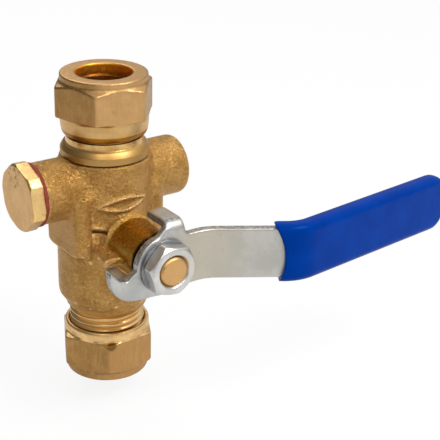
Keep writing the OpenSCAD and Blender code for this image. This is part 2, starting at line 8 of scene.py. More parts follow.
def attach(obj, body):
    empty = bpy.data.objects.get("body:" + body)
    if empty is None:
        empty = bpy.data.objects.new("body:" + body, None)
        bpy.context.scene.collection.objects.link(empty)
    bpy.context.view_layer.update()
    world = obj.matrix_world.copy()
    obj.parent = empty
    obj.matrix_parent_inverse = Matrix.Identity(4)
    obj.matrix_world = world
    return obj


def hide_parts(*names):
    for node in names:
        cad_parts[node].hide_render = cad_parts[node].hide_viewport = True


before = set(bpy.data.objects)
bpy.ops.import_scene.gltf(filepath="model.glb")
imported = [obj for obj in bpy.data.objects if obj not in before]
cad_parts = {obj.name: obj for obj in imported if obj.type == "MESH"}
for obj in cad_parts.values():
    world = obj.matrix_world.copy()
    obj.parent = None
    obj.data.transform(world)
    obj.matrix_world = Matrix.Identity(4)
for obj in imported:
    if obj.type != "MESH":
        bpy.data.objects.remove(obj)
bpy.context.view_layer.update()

# Pieces are modelled in millimetres and brought to metres at the end.
# The pipe's axis is z, heights are above the lower nut's end face, and the stem points to -y.
mm = 0.001
stemZ = 42.8
tubeZ = 56.8
far = 200  # past the end of every piece


# camera, fitted to the photograph
cameraView = dict(place=(-152.6, -261.2, 178.1), yaw=36.259, down=23.791, roll=1.655, lens=97.83)


def makeCamera():
    yaw, down, roll = (math.radians(cameraView[k]) for k in ("yaw", "down", "roll"))
    look = Vector((math.sin(yaw) * math.cos(down), math.cos(yaw) * math.cos(down), -math.sin(down)))
    right = Vector((math.cos(yaw), -math.sin(yaw), 0))
    up = right.cross(look)
    rolledRight = math.cos(roll) * right + math.sin(roll) * up
    rolledUp = math.cos(roll) * up - math.sin(roll) * right
    camera = bpy.data.objects.new("photoCamera", bpy.data.cameras.new("photoCamera"))
    bpy.context.scene.collection.objects.link(camera)
    turn = Matrix((rolledRight, rolledUp, -look)).transposed().to_4x4()
    camera.matrix_world = Matrix.Translation(Vector(cameraView["place"]) * mm) @ turn
    camera.data.lens = cameraView["lens"]
    camera.data.clip_start = 0.01
    bpy.context.scene.camera = camera


makeCamera()
print("camera placed")


# modelling helpers
def openMesh(made):
    bm = bmesh.new()
    bm.from_mesh(made.data)
    return bm


def closeMesh(bm, mesh):
    bm.to_mesh(mesh)
    bm.free()


def makeObject(name, bm):
    mesh = bpy.data.meshes.new(name)
    closeMesh(bm, mesh)
    made = bpy.data.objects.new(name, mesh)
    bpy.context.scene.collection.objects.link(made)
    return made


def applyModifiers(made):
    depsgraph = bpy.context.evaluated_depsgraph_get()
    shaped = bpy.data.meshes.new_from_object(made.evaluated_get(depsgraph))
    made.modifiers.clear()
    made.data = shaped
    return made


def combine(made, other, operation="DIFFERENCE"):
    step = made.modifiers.new("combine", "BOOLEAN")
    step.operation = operation
    step.solver = "MANIFOLD"
    step.object = other
    applyModifiers(made)
    bpy.data.objects.remove(other)
    return made


def remesh(made, voxel):
    step = made.modifiers.new("remesh", "REMESH")
    step.mode = "VOXEL"
    step.voxel_size = voxel
    step.use_smooth_shade = True
    return applyModifiers(made)


def smoothFaces(bm):
    for face in bm.faces:
        face.smooth = True


def smoothVerts(bm, verts, passes):
    for again in range(passes):
        bmesh.ops.smooth_vert(bm, verts=verts, factor=0.5, use_axis_x=True, use_axis_y=True, use_axis_z=True)


def smoothAll(made, passes):
    bm = openMesh(made)
    smoothVerts(bm, bm.verts, passes)
    smoothFaces(bm)
    closeMesh(bm, made.data)


def isInside(place, low, high):  # between two corners of a box
    return all(least < value < most for least, value, most in zip(low, place, high))


def smoothInside(made, low, high, passes):
    bm = openMesh(made)
    smoothVerts(bm, [v for v in bm.verts if isInside(v.co, low, high)], passes)
    closeMesh(bm, made.data)


def markSharp(made, degrees):
    made.data.set_sharp_from_angle(angle=math.radians(degrees))


def rotated(degrees, axis):
    return Matrix.Rotation(math.radians(degrees), 4, axis)


def drawLoop(bm, points):
    # a closed line through points of (radius, height)
    corners = [bm.verts.new((r, 0, z)) for r, z in points]
    for start, end in zip(corners, corners[1:] + corners[:1]):
        bm.edges.new((start, end))
    return corners


def spinProfile(points, steps=96, rounding=0.0, roundSteps=3):
    # a closed profile of (radius, height), with its corners rounded, turned about z
    nearAxis = 0.01
    bm = bmesh.new()
    corners = drawLoop(bm, points)
    if rounding:
        free = [v for v in corners if v.co.x > nearAxis]
        bmesh.ops.bevel(bm, geom=free, affect="VERTICES", offset=rounding, segments=roundSteps,
                        profile=0.5, material=-1, clamp_overlap=True)
    onAxis = [e for e in bm.edges if all(v.co.x < nearAxis for v in e.verts)]
    bmesh.ops.delete(bm, geom=onAxis, context="EDGES_FACES")
    bmesh.ops.spin(bm, geom=bm.verts[:] + bm.edges[:], cent=(0, 0, 0), axis=(0, 0, 1),
                   angle=math.tau, steps=steps, use_merge=True)
    bmesh.ops.remove_doubles(bm, verts=bm.verts, dist=0.0001)
    bmesh.ops.recalc_face_normals(bm, faces=bm.faces)
    smoothFaces(bm)
    return bm


def cylinder(radius, low, high, turn=None):
    bm = bmesh.new()
    bmesh.ops.create_cone(bm, cap_ends=True, segments=96, radius1=radius, radius2=radius, depth=high - low)
    bmesh.ops.translate(bm, verts=bm.verts, vec=(0, 0, (high + low) / 2))
    if turn:
        bmesh.ops.transform(bm, verts=bm.verts, matrix=turn)
    return bm


def box(low, high):
    bm = bmesh.new()
    bmesh.ops.create_cube(bm, size=1)
    bmesh.ops.scale(bm, verts=bm.verts, vec=Vector(high) - Vector(low))
    bmesh.ops.translate(bm, verts=bm.verts, vec=(Vector(high) + Vector(low)) / 2)
    return bm


def prism(outline, low, high, turn=None):
    # a flat outline of (x, y) points, extruded from one height to another
    bm = bmesh.new()
    face = bm.faces.new([bm.verts.new((x, y, low)) for x, y in outline])
    walls = bmesh.ops.extrude_face_region(bm, geom=[face])
    raised = [v for v in walls["geom"] if isinstance(v, bmesh.types.BMVert)]
    bmesh.ops.translate(bm, verts=raised, vec=(0, 0, high - low))
    bmesh.ops.recalc_face_normals(bm, faces=bm.faces)
    if turn:
        bmesh.ops.transform(bm, verts=bm.verts, matrix=turn)
    return bm


def span(edge, axis):  # how far an edge reaches along an axis
    return abs(edge.verts[0].co[axis] - edge.verts[1].co[axis])


def roundEdges(bm, edges, radius, steps):
    bmesh.ops.bevel(bm, geom=edges, affect="EDGES", offset=radius, segments=steps, profile=0.5, material=-1)


def finishPiece(made, body, material, replaced=()):
    made.data.transform(Matrix.Scale(mm, 4))
    made.data.materials.clear()
    made.data.materials.append(material)
    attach(made, body)
    if replaced:
        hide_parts(*replaced)
    return made


alongStem = Matrix.Translation((0, 0, stemZ)) @ rotated(90, "X")
alongTube = Matrix.Translation((0, 0, tubeZ)) @ rotated(90, "Y")


# shader helpers
class Wire:
    # holds one socket of a node tree, so that maths on it reads as an expression
    def __init__(self, tree, socket=None):
        self.tree = tree
        self.socket = socket

    def node(self, kind, settings=None, inputs=None, output=0):
        made = self.tree.nodes.new(kind)
        for key, value in (settings or {}).items():
            if key == "stops":
                ramp = made.color_ramp
                while len(ramp.elements) < len(value):
                    ramp.elements.new(0.5)
                for element, (place, colour) in zip(ramp.elements, value):
                    element.position = place
                    element.color = colour
            else:
                setattr(made, key, value)
        for key, value in (inputs or {}).items():
            if isinstance(value, Wire):
                self.tree.links.new(value.socket, made.inputs[key])
            else:
                made.inputs[key].default_value = value
        return Wire(self.tree, made.outputs[output])

    def toOutput(self, kind="ShaderNodeOutputMaterial"):
        out = self.tree.nodes.new(kind)
        self.tree.links.new(self.socket, out.inputs["Surface"])

    def maths(self, operation, *values):
        return self.node("ShaderNodeMath", {"operation": operation}, dict(enumerate(values)))

    def __add__(self, other):
        return self.maths("ADD", self, other)

    __radd__ = __add__

    def __sub__(self, other):
        return self.maths("SUBTRACT", self, other)

    def __rsub__(self, other):
        return self.maths("SUBTRACT", other, self)

    def __mul__(self, other):
        return self.maths("MULTIPLY", self, other)

    __rmul__ = __mul__

    def larger(self, other):
        return self.maths("MAXIMUM", self, other)

    def clamped(self):
        return self.node("ShaderNodeClamp", None, {0: self, 1: 0.0, 2: 1.0})

    def mapped(self, low, high, toLow=0.0, toHigh=1.0):
        return self.node("ShaderNodeMapRange", {"interpolation_type": "SMOOTHSTEP"},
                         {0: self, 1: low, 2: high, 3: toLow, 4: toHigh})

    def fading(self, low, high):  # 1 below low, 0 above high
        return self.mapped(low, high, 1.0, 0.0)

    def part(self, axis):  # one of a place's three numbers
        return self.node("ShaderNodeSeparateXYZ", None, {0: self}, output=axis)

    def measured(self, operation, other=(0, 0, 0)):
        return self.node("ShaderNodeVectorMath", {"operation": operation}, {0: self, 1: other}, output=1)

    def length(self):
        return self.measured("LENGTH")

    def distance(self, point):
        return self.measured("DISTANCE", point)

    def towards(self, direction):  # 1 where a normal points that way
        return self.measured("DOT_PRODUCT", direction)

    def stretched(self, scale):
        return self.node("ShaderNodeMapping", None, {"Vector": self, "Scale": scale})

    def noise(self, scale, detail=3.0, rough=0.55):
        return self.node("ShaderNodeTexNoise", None,
                         {"Vector": self, "Scale": scale, "Detail": detail, "Roughness": rough})

    def mixColour(self, factor, first, second, blend="MIX"):
        return self.node("ShaderNodeMix", {"data_type": "RGBA", "blend_type": blend},
                         {0: factor, 6: first, 7: second}, output=2)


def newMaterial(name):
    material = bpy.data.materials.new(name)
    material.use_nodes = True
    tree = material.node_tree
    tree.nodes.clear()
    wire = Wire(tree)
    place = wire.node("ShaderNodeTexCoord", output="Object")
    inMm = wire.node("ShaderNodeVectorMath", {"operation": "SCALE"}, {0: place, "Scale": 1 / mm})
    return material, wire, inMm


def closeMaterial(wire, inputs, height, depth, strength, edge=0.0):
    # depth is the bump's in mm, and edge the radius in mm that the shading gives to sharp corners
    bump = {"Height": height, "Distance": depth * mm, "Strength": strength}
    if edge:
        bump["Normal"] = wire.node("ShaderNodeBevel", {"samples": 4}, {"Radius": edge * mm})
    normal = wire.node("ShaderNodeBump", None, bump)
    wire.node("ShaderNodeBsdfPrincipled", None, dict(inputs, Normal=normal)).toOutput()


# finishes; a pair of numbers is where a mask begins and ends, in mm along z unless its name or a note differs
# painted: highlight with wear on ridges (pale), shade in hollows (deep), on the boss and in the gap
forgedLook = dict(colour=(0.62, 0.36, 0.115, 1), deep=(0.36, 0.185, 0.043, 1), pale=(0.92, 0.64, 0.30, 1),
                  turned=(0.74, 0.50, 0.22, 1), boss=(0.38, 0.195, 0.015, 1), gapShade=(0.03, 0.015, 0.006, 1),
                  pit=(0.16, 0.075, 0.02, 1), roughness=0.34, grainDepth=0.24, neckTop=20.25,
                  ridgesFrom=(22.0, 24.0), ridgesTo=(62.4, 63.2), bossRadius=(7.5, 8.7),
                  bossBackY=(-14.4, -12.9), bossFrontY=(-25.3, -24.7))


def makeForgedBrass():
    # blasted skin: cloudy, speckled, with small dark pits, its ridges pale as wear and painted highlight,
    # painted shade in its hollows, on the boss under the lever and in the gap; turned below the housing
    material, wire, place = newMaterial("forgedBrass")
    look = forgedLook
    blotch = place.noise(0.19, 5.0, 0.6).mapped(0.34, 0.66)
    speck = place.noise(1.25, 4.0, 0.75).mapped(0.40, 0.60)
    grain = place.noise(1.6, 3.0, 0.75)
    cells = wire.node("ShaderNodeTexVoronoi", {"feature": "F1"}, {"Vector": place, "Scale": 0.85})
    pits = cells.fading(0.10, 0.26) * place.noise(0.3, 2.0).mapped(0.5, 0.62)
    across, back, up = (place.part(axis) for axis in range(3))
    point = wire.node("ShaderNodeNewGeometry", output="Pointiness")
    # ridges paled, partly wear and partly painted highlight
    raised = point.mapped(0.503, 0.555) * up.mapped(*look["ridgesFrom"]) * up.fading(*look["ridgesTo"])
    # painted shade darkens the hollows
    sunk = point.fading(0.43, 0.495)
    neck = up.fading(look["neckTop"] - 0.1, look["neckTop"] + 0.1)
    fromStem = wire.node("ShaderNodeCombineXYZ", None, {0: across, 1: up - stemZ}).length()
    # painted shade on the boss, which lies under the lever
    boss = fromStem.fading(*look["bossRadius"]) * back.fading(*look["bossBackY"])
    gapShade = boss * back.fading(*look["bossFrontY"])  # painted shade on the boss's front face, in the gap between boss and lever
    tone = wire.mixColour(blotch * 0.45 + speck * 0.55, look["deep"], look["colour"])
    tone = wire.mixColour(sunk * 0.5, tone, look["deep"])
    tone = wire.mixColour(raised * 0.65, tone, look["pale"])
    tone = wire.mixColour(pits * 0.7, tone, look["pit"])
    tone = wire.mixColour(boss * 0.85, tone, look["boss"])
    tone = wire.mixColour(gapShade, tone, look["gapShade"])
    tone = wire.mixColour(neck, tone, look["turned"])
    roughness = look["roughness"] + 0.16 * speck - 0.1 * raised - 0.12 * boss
    roughness = roughness + neck * (0.30 - roughness)
    height = (grain + 0.5 * speck - 0.6 * pits) * (1 - neck) * (1 - 0.8 * boss)
    closeMaterial(wire, {"Base Color": tone, "Metallic": 1.0, "Roughness": roughness},
                  height, look["grainDepth"], 0.9)
    return material


# painted: light on faces towards front and top, reflection in the bore, shade in the dent and under the band
nutLook = dict(colour=(0.46, 0.26, 0.09, 1), worn=(0.78, 0.54, 0.26, 1), dull=(0.31, 0.165, 0.05, 1),
               litColour=(0.59, 0.35, 0.145, 1), turned=(0.80, 0.54, 0.245, 1), shade=(0.32, 0.13, 0.012, 1),
               boreReflection=(0.95, 0.42, 0.035, 1), boreRadius=(7.65, 7.85), grime=(0.14, 0.07, 0.02, 1),
               dent=(0.16, 0.08, 0.015, 1), roughness=0.34)


def makeNutBrass(name, look=nutLook, bright=None, under=None, dentAt=None, smudge=None):
    # satin flats with fine upright lines, painted light on the faces towards front and top, and edges pale
    # with wear and painted highlight; a compression nut also has a band of heights turned bright, a painted
    # reflection in its bore, and its band can be shaded under a height; a dent gets painted shade
    material, wire, place = newMaterial(name)
    lines = place.stretched((1.5, 1.5, 0.12)).noise(1.6, 3.0, 0.6)
    cloud = place.noise(0.25, 5.0, 0.65).mapped(0.32, 0.68)
    speck = place.noise(1.3, 3.0, 0.7).mapped(0.38, 0.66)
    stain = place.noise(0.42, 4.0, 0.7).mapped(0.56, 0.72)
    raised = wire.node("ShaderNodeNewGeometry", output="Pointiness").mapped(0.51, 0.60)
    normal = wire.node("ShaderNodeTexCoord", output="Normal")
    # painted light: faces towards the front and the top take the lit colour
    front = normal.towards((0, -1, 0)).mapped(0.62, 0.9)
    top = normal.towards((0, 0, 1)).mapped(0.5, 0.9)
    tone = wire.mixColour(cloud * 0.6 + speck * 0.4, look["dull"], look["colour"])
    tone = wire.mixColour(front.larger(top) * (1 - 0.35 * cloud), tone, look["litColour"])
    tone = wire.mixColour(lines.mapped(0.45, 0.8) * 0.22, tone, look["worn"])
    tone = wire.mixColour(stain * 0.5, tone, look["dull"])
    # edges paled, partly wear and partly painted highlight
    tone = wire.mixColour(raised * 0.45, tone, look["worn"])
    roughness = look["roughness"] + 0.12 * speck + 0.06 * lines - 0.1 * raised
    height = 0.6 * lines + 0.8 * speck
    if bright:
        low, high = bright
        cut = place.stretched((0.05, 0.05, 7.0)).noise(1.4, 2.0, 0.5)
        up = place.part(2)
        band = up.mapped(low - 0.12, low + 0.05) * up.fading(high - 0.05, high + 0.12)
        flat = wire.node("ShaderNodeVectorMath", {"operation": "MULTIPLY"}, {0: place, 1: (1, 1, 0)})
        hole = flat.length().fading(*look["boreRadius"])
        shiny = wire.mixColour(cloud * 0.5 + cut * 0.3, look["turned"], look["colour"])
        tone = wire.mixColour(band, tone, shiny)
        if under:
            tone = wire.mixColour(up.fading(under - 0.2, under + 0.2) * band, tone, look["shade"])
        # painted reflection: the bore's brass walls are coloured a saturated orange
        tone = wire.mixColour(hole, tone, look["boreReflection"])
        roughness = roughness + band * (0.1 * cut - 0.14 * speck - 0.06)
        height = height + band * (0.6 * cut - height)
    if smudge:
        centre, reach = smudge
        near = place.distance(centre).fading(reach * 0.4, reach)
        grime = place.noise(0.8, 4.0, 0.7).mapped(0.52, 0.60) * near
        tone = wire.mixColour(grime * 0.8, tone, look["grime"])
    # painted shade darkens the dent in the lower nut's corner
    if dentAt:
        tone = wire.mixColour(place.distance(dentAt).mapped(1.0, 2.0, 0.85, 0.0), tone, look["dent"])
    closeMaterial(wire, {"Base Color": tone, "Metallic": 1.0, "Roughness": roughness}, height, 0.04, 0.7)
    return material


# painted shade: the cone colour on the cone, and the shaded colour in the groove under the nut
turnedLook = dict(colour=(0.66, 0.415, 0.155, 1), dull=(0.52, 0.295, 0.09, 1), flange=(0.47, 0.275, 0.09, 1),
                  cone=(0.48, 0.275, 0.08, 1), shaded=(0.24, 0.085, 0.008, 1), roughness=0.18,
                  flangeTo=(66.4, 66.75), coneFrom=(66.6, 66.8), coneTo=(68.2, 68.4),
                  grooveFrom=(70.2, 70.35), grooveTo=(71.9, 72.4))


def makeTurnedBrass():
    # bright turned rings and a duller flange below;
    # painted shade on the cone and in the groove above, under the nut
    material, wire, place = newMaterial("turnedBrass")
    look = turnedLook
    cut = place.stretched((0.06, 0.06, 9.0)).noise(1.4, 2.0, 0.5)
    cloud = place.noise(0.3, 3.0).mapped(0.4, 0.7)
    speck = place.noise(1.3, 3.0, 0.7).mapped(0.38, 0.66)
    up = place.part(2)
    flange = up.fading(*look["flangeTo"])
    cone = up.mapped(*look["coneFrom"]) * up.fading(*look["coneTo"])
    groove = up.mapped(*look["grooveFrom"]) * up.fading(*look["grooveTo"])
    tone = wire.mixColour(cloud, look["colour"], look["dull"])
    tone = wire.mixColour(flange, tone, wire.mixColour(speck, look["flange"], look["dull"]))
    # painted shade on the cone
    tone = wire.mixColour(cone * 0.8, tone, look["cone"])
    # painted shade in the groove under the nut
    tone = wire.mixColour(groove, tone, look["shaded"])
    roughness = look["roughness"] + 0.1 * cut + 0.05 * cloud
    roughness = roughness + flange * (0.16 + 0.12 * speck) + 0.16 * cone + 0.12 * groove
    closeMaterial(wire, {"Base Color": tone, "Metallic": 1.0, "Roughness": roughness},
                  cut + flange * speck * 3, 0.01, 0.5)
    return material


# tear scales the dark look of sheared edges; warmFrom and warmTo are along x
# the sheared colour also paints shade on the upper tab's end
steelLook = dict(colour=(0.42, 0.42, 0.405, 1), pale=(0.52, 0.515, 0.495, 1), stain=(0.34, 0.30, 0.22, 1),
                 warm=(0.50, 0.455, 0.36, 1), sheared=(0.15, 0.135, 0.11, 1), tear=1.0, roughness=0.34,
                 warmFrom=(1.0, 9.0), warmTo=(14.0, 26.0), shearedY=(-27.3, -26.9),
                 tabFrom=(stemZ + 6.5, stemZ + 7.5))


def makePlatedSteel(name="platedSteel", look=steelLook, edge=0.0):
    # zinc plate, warmer towards the grip, and dark and rough where the plate was sheared;
    # the upper tab's end is rough too, with painted shade
    material, wire, place = newMaterial(name)
    cloud = place.noise(0.16, 4.0).mapped(0.38, 0.64)
    fine = place.noise(1.6, 4.0, 0.65)
    mark = place.noise(0.8, 5.0, 0.7).mapped(0.58, 0.72)
    across, back, up = (place.part(axis) for axis in range(3))
    warm = across.mapped(*look["warmFrom"]) * across.mapped(*look["warmTo"], 1.0, 0.3)
    normal = wire.node("ShaderNodeTexCoord", output="Normal")
    side = wire.maths("ABSOLUTE", normal.towards((0, 1, 0))).fading(0.35, 0.7)
    torn = place.noise(0.9, 5.0, 0.75).mapped(0.42, 0.60)
    sheared = side * torn * back.fading(*look["shearedY"]) * look["tear"]
    # painted shade on the upper tab's end, which faces -x
    tabEndShade = normal.towards((-1, 0, 0)).mapped(0.6, 0.85) * up.mapped(*look["tabFrom"])
    shearedAndShaded = (sheared * 0.75).larger(tabEndShade * (0.75 + 0.25 * torn))
    tone = wire.mixColour(cloud, look["colour"], look["pale"])
    tone = wire.mixColour(warm * 0.8, tone, look["warm"])
    tone = wire.mixColour(mark * 0.35, tone, look["stain"])
    tone = wire.mixColour(shearedAndShaded, tone, look["sheared"])
    roughness = look["roughness"] + 0.12 * fine + 0.1 * mark + 0.12 * shearedAndShaded
    closeMaterial(wire, {"Base Color": tone, "Metallic": 0.92, "Roughness": roughness},
                  fine + 0.5 * mark + 1.5 * shearedAndShaded * torn, 0.03, 0.5, edge)
    return material


sleeveLook = dict(colour=(0.0, 0.028, 0.225, 1), pale=(0.0, 0.036, 0.265, 1), roughness=0.13, shine=0.07,
                  shineTint=(0.1, 0.5, 1, 1))


def makeBlueVinyl():
    # glossy dip coat with a slow ripple
    material, wire, place = newMaterial("blueVinyl")
    look = sleeveLook
    cloud = place.noise(0.14, 3.0).mapped(0.3, 0.7)
    ripple = place.noise(0.32, 2.0, 0.4)
    fine = place.noise(2.2, 2.0, 0.5)
    tone = wire.mixColour(cloud, look["colour"], look["pale"])
    roughness = look["roughness"] + 0.06 * cloud
    closeMaterial(wire, {"Base Color": tone, "Metallic": 0.0, "Roughness": roughness,
                         "Specular IOR Level": look["shine"], "Specular Tint": look["shineTint"]},
                  ripple + 0.08 * fine, 0.12, 0.5)
    return material


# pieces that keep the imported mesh; depth is the bump's, in mm
plainLooks = {
    "redFibre": dict(first=(0.15, 0.014, 0.006, 1), second=(0.27, 0.036, 0.014, 1),
                     metallic=0.0, roughness=0.75, scale=2.5, depth=0.05),
    "seatWhite": dict(first=(0.78, 0.78, 0.75, 1), second=(0.88, 0.88, 0.86, 1),
                      metallic=0.0, roughness=0.45, scale=0.6, depth=0.01),
    "sealRubber": dict(first=(0.012, 0.012, 0.012, 1), second=(0.03, 0.03, 0.03, 1),
                       metallic=0.0, roughness=0.5, scale=2.0, depth=0.02),
    "threadSeal": dict(first=(0.09, 0.045, 0.012, 1), second=(0.18, 0.10, 0.03, 1),
                       metallic=0.2, roughness=0.6, scale=1.5, depth=0.05),
    "platedBall": dict(first=(0.62, 0.62, 0.61, 1), second=(0.72, 0.72, 0.72, 1),
                       metallic=1.0, roughness=0.08, scale=0.3, depth=0.002),
    "oliveBrass": dict(first=(0.50, 0.245, 0.055, 1), second=(0.62, 0.33, 0.09, 1),
                       metallic=1.0, roughness=0.25, scale=0.8, depth=0.01),
}


def makePlain(name):
    material, wire, place = newMaterial(name)
    look = plainLooks[name]
    grain = place.noise(look["scale"], 4.0, 0.6)
    tone = wire.mixColour(grain.mapped(0.35, 0.65), look["first"], look["second"])
    roughness = look["roughness"] + 0.1 * grain
    closeMaterial(wire, {"Base Color": tone, "Metallic": look["metallic"], "Roughness": roughness},
                  grain, look["depth"], 0.6, 0.15)
    return material


# what single pieces change in these looks
upperNutLook = dict(nutLook, turned=(0.66, 0.43, 0.175, 1))
lowerNutLook = dict(nutLook, litColour=(0.48, 0.265, 0.095, 1), turned=(0.92, 0.62, 0.28, 1))
plugLook = dict(nutLook, colour=(0.70, 0.435, 0.175, 1), dull=(0.53, 0.31, 0.11, 1),
                litColour=(0.97, 0.66, 0.27, 1), roughness=0.30)
stemLook = dict(nutLook, colour=(0.72, 0.44, 0.17, 1), dull=(0.62, 0.35, 0.11, 1))
leverNutLook = dict(steelLook, colour=(0.54, 0.535, 0.51, 1), pale=(0.68, 0.67, 0.64, 1), tear=0.0,
                    roughness=0.28)
washerLook = dict(steelLook, colour=(0.27, 0.28, 0.28, 1), pale=(0.40, 0.41, 0.42, 1))

forgedBrass = makeForgedBrass()
upperNutBrass = makeNutBrass("upperNutBrass", upperNutLook, bright=(70.2, 75.75), under=72.3)
lowerNutBrass = makeNutBrass("lowerNutBrass", lowerNutLook, bright=(12.2, 15.5), dentAt=(-5.7, -12.3, 12.2))
turnedBrass = makeTurnedBrass()
plugBrass = makeNutBrass("plugBrass", plugLook, smudge=((-26.4, 1.0, 62.8), 5.0))
stemBrass = makeNutBrass("stemBrass", stemLook)
platedSteel = makePlatedSteel()
nutSteel = makePlatedSteel("nutSteel", leverNutLook)
washerSteel = makePlatedSteel("washerSteel", washerLook, 0.2)
blueVinyl = makeBlueVinyl()
plain = {name: makePlain(name) for name in plainLooks}
print("finishes made")


# forged body
bodyShape = dict(column=12.4, housing=13.4, topZ=64.45, tube=8.33, drainEnd=-21.6, blankEnd=22.6,
                 blankRound=1.2, boss=7.3, bossFoot=8.2, bossFront=25.5,
                 padHalf=13.9, padDepth=9.6, padLow=38.7, padCorner=3,
                 padTrim=[(0, 38.5), (14.6, 38.5), (16.8, 40.9), (16.8, 58), (0, 58)],
                 lug=[(-12.55, -20.5), (-4, -20.5), (-4, -8), (-9.55, -8)], lugLow=-1.95, lugHigh=0.45,
                 voxel=0.34, allPasses=4, weld=0.03, sharp=50)
# what is smoothed more: each region is a box's lowest and highest corners
creaseShape = dict(angle=-0.12, rings=4, tubePasses=60, lugPasses=45, wornPasses=12, leftPasses=5,
                   tube=((-17, -far, 50.5), (17, far, 64)), boss=((-far, -far, -far), (far, -12.8, 54)),
                   lug=((-far, -19, 34), (-6.5, -7, 46)), worn=((-far, -22, 40), (-7.8, -14, 44.2)),
                   left=((-far, -far, -far), (-7.2, -13.6, far)))


def makeForging():
    s = bodyShape
    made = makeObject("forgedBody", spinProfile([
        (0, 20.2), (11.1, 20.2), (11.3, 20.5), (11.35, 21.5), (s["housing"] - 0.15, 24.2), (s["housing"], 26),
        (s["housing"], 47.3), (13.1, 48.2), (s["column"], 48.7), (s["column"], s["topZ"]), (0, s["topZ"])]))
    tube = makeObject("tube", spinProfile([
        (0, s["drainEnd"]), (s["tube"], s["drainEnd"]), (s["tube"], s["blankEnd"] - s["blankRound"]),
        (s["tube"] - 0.3 * s["blankRound"], s["blankEnd"] - 0.3 * s["blankRound"]),
        (s["tube"] - s["blankRound"], s["blankEnd"]), (0, s["blankEnd"])]))
    tube.data.transform(alongTube)
    boss = makeObject("boss", spinProfile([
        (0, 0), (s["bossFoot"], 0), (s["bossFoot"], s["column"] + 0.6), (s["boss"], s["column"] + 1.4),
        (s["boss"], s["bossFront"]), (0, s["bossFront"])]))
    boss.data.transform(alongStem)
    pad = box((-s["padHalf"], -s["padDepth"], s["padLow"]), (s["padHalf"], s["padDepth"], tubeZ))
    roundEdges(pad, [e for e in pad.edges if span(e, 2) > 1], s["padCorner"], 6)
    pads = makeObject("pads", pad)
    combine(pads, makeObject("trim", spinProfile(s["padTrim"])), "INTERSECT")
    lug = makeObject("lug", prism(s["lug"], stemZ + s["lugLow"], stemZ + s["lugHigh"]))
    for extra in (tube, boss, pads, lug):
        joined = openMesh(made)
        joined.from_mesh(extra.data)
        closeMesh(joined, made.data)
        bpy.data.objects.remove(extra)
    return remesh(made, s["voxel"])


def blendCreases(made):
    # smooths everything a little and the inside corners a lot, as a forging die leaves them
    s = creaseShape
    bm = openMesh(made)
    smoothVerts(bm, bm.verts, 1)
    bm.normal_update()
    hollow = set()
    for edge in bm.edges:
        if edge.is_manifold and edge.calc_face_angle_signed() < s["angle"]:
            hollow.update(edge.verts)
    for ring in range(s["rings"]):
        hollow.update({e.other_vert(v) for v in list(hollow) for e in v.link_edges})
    tubeCreases = [v for v in hollow if isInside(v.co, *s["tube"]) and not isInside(v.co, *s["boss"])]
    lugCreases = [v for v in hollow if isInside(v.co, *s["lug"])]
    smoothVerts(bm, tubeCreases, s["tubePasses"])
    smoothVerts(bm, lugCreases, s["lugPasses"])
    smoothVerts(bm, bm.verts, bodyShape["allPasses"])
    closeMesh(bm, made.data)


lensRib = dict(length=12.8, height=3.3, x=-1.45, z=11.3, tilt=5.5, width=0.58, rise=0.68)


def raiseLens(made):
    # the raised outline on the front of the column, with two round sides and two pointed ends
    s = lensRib
    half, bulge = s["length"] / 2, s["height"] / 2
    radius = (half * half + bulge * bulge) / (2 * bulge)
    turn = math.radians(s["tilt"])
    for vertex in made.data.vertices:
        x, y, z = vertex.co
        if y > -6 or not stemZ + 5 < z < stemZ + 16:  # not the column's front
            continue
        dx, dz = x - s["x"], z - stemZ - s["z"]
        u = dx * math.cos(turn) + dz * math.sin(turn)
        v = abs(dz * math.cos(turn) - dx * math.sin(turn))
        away = abs(math.hypot(u, v + radius - bulge) - radius)
        if abs(u) > half:
            away = math.hypot(abs(u) - half, v)
        lift = s["rise"] * math.exp(-(away / s["width"]) ** 2)
        outward = Vector((x, y, 0)).normalized()
        vertex.co += outward * lift


padLines = dict(turn=43.5, low=38.9, high=52.5, levelDrop=0.35, radius=13.8, width=0.34, depth=0.42,
                ledgeTurn=57, ledgeZ=48.0, ledgeRise=0.3, ledgeWidth=0.4, ledgeFade=0.24)


def drawPadLines(made):
    # the sunk lines where the side pads end, and the raised edge between pad and boss at the front
    s = padLines
    for vertex in made.data.vertices:
        x, y, z = vertex.co
        if not (12 < math.hypot(x, y) < 17 and 37 < z < 54):  # not the housing's wall
            continue
        turn = math.degrees(math.atan2(abs(y), abs(x)))
        sideways = math.radians(turn - s["turn"]) * s["radius"]
        beyond = max(0, s["low"] - z, z - s["high"])
        upright = math.exp(-(math.hypot(sideways, beyond) / s["width"]) ** 2)
        level = 0
        if turn < s["turn"]:
            level = math.exp(-((z - s["low"] + s["levelDrop"]) / s["width"]) ** 2)
        ledge = 0
        if y < 0 and x < 0 and s["turn"] < turn:
            past = max(0, turn - s["ledgeTurn"]) * s["ledgeFade"]
            ledge = math.exp(-(math.hypot(z - s["ledgeZ"], past) / s["ledgeWidth"]) ** 2)
        lift = s["ledgeRise"] * ledge - s["depth"] * max(upright, level)
        vertex.co += Vector((x, y, 0)).normalized() * lift


# radii of what is bored out, and where each bore ends
boreShape = dict(flange=12.3, endThread=10.78, endDepth=4.5, chamber=9.6, chamberLow=-9.55,
                 water=6.2, waterLow=15, collar=5.7, collarDepth=13.15, stem=4.55,
                 drainThread=6.66, drainDepth=9, drain=3.0, pipe=7.6, pipeStop=18.0)
slotMark = dict(low=(12.4, -2.1, 46.4), high=(20, 2.1, 47.4), turn=233)


def makeSlot():  # cutter for the short slot across the front of the housing, left of the boss
    bm = box(slotMark["low"], slotMark["high"])
    turn = rotated(slotMark["turn"], "Z").to_3x3()
    bmesh.ops.rotate(bm, verts=bm.verts, cent=(0, 0, 0), matrix=turn)
    return bm


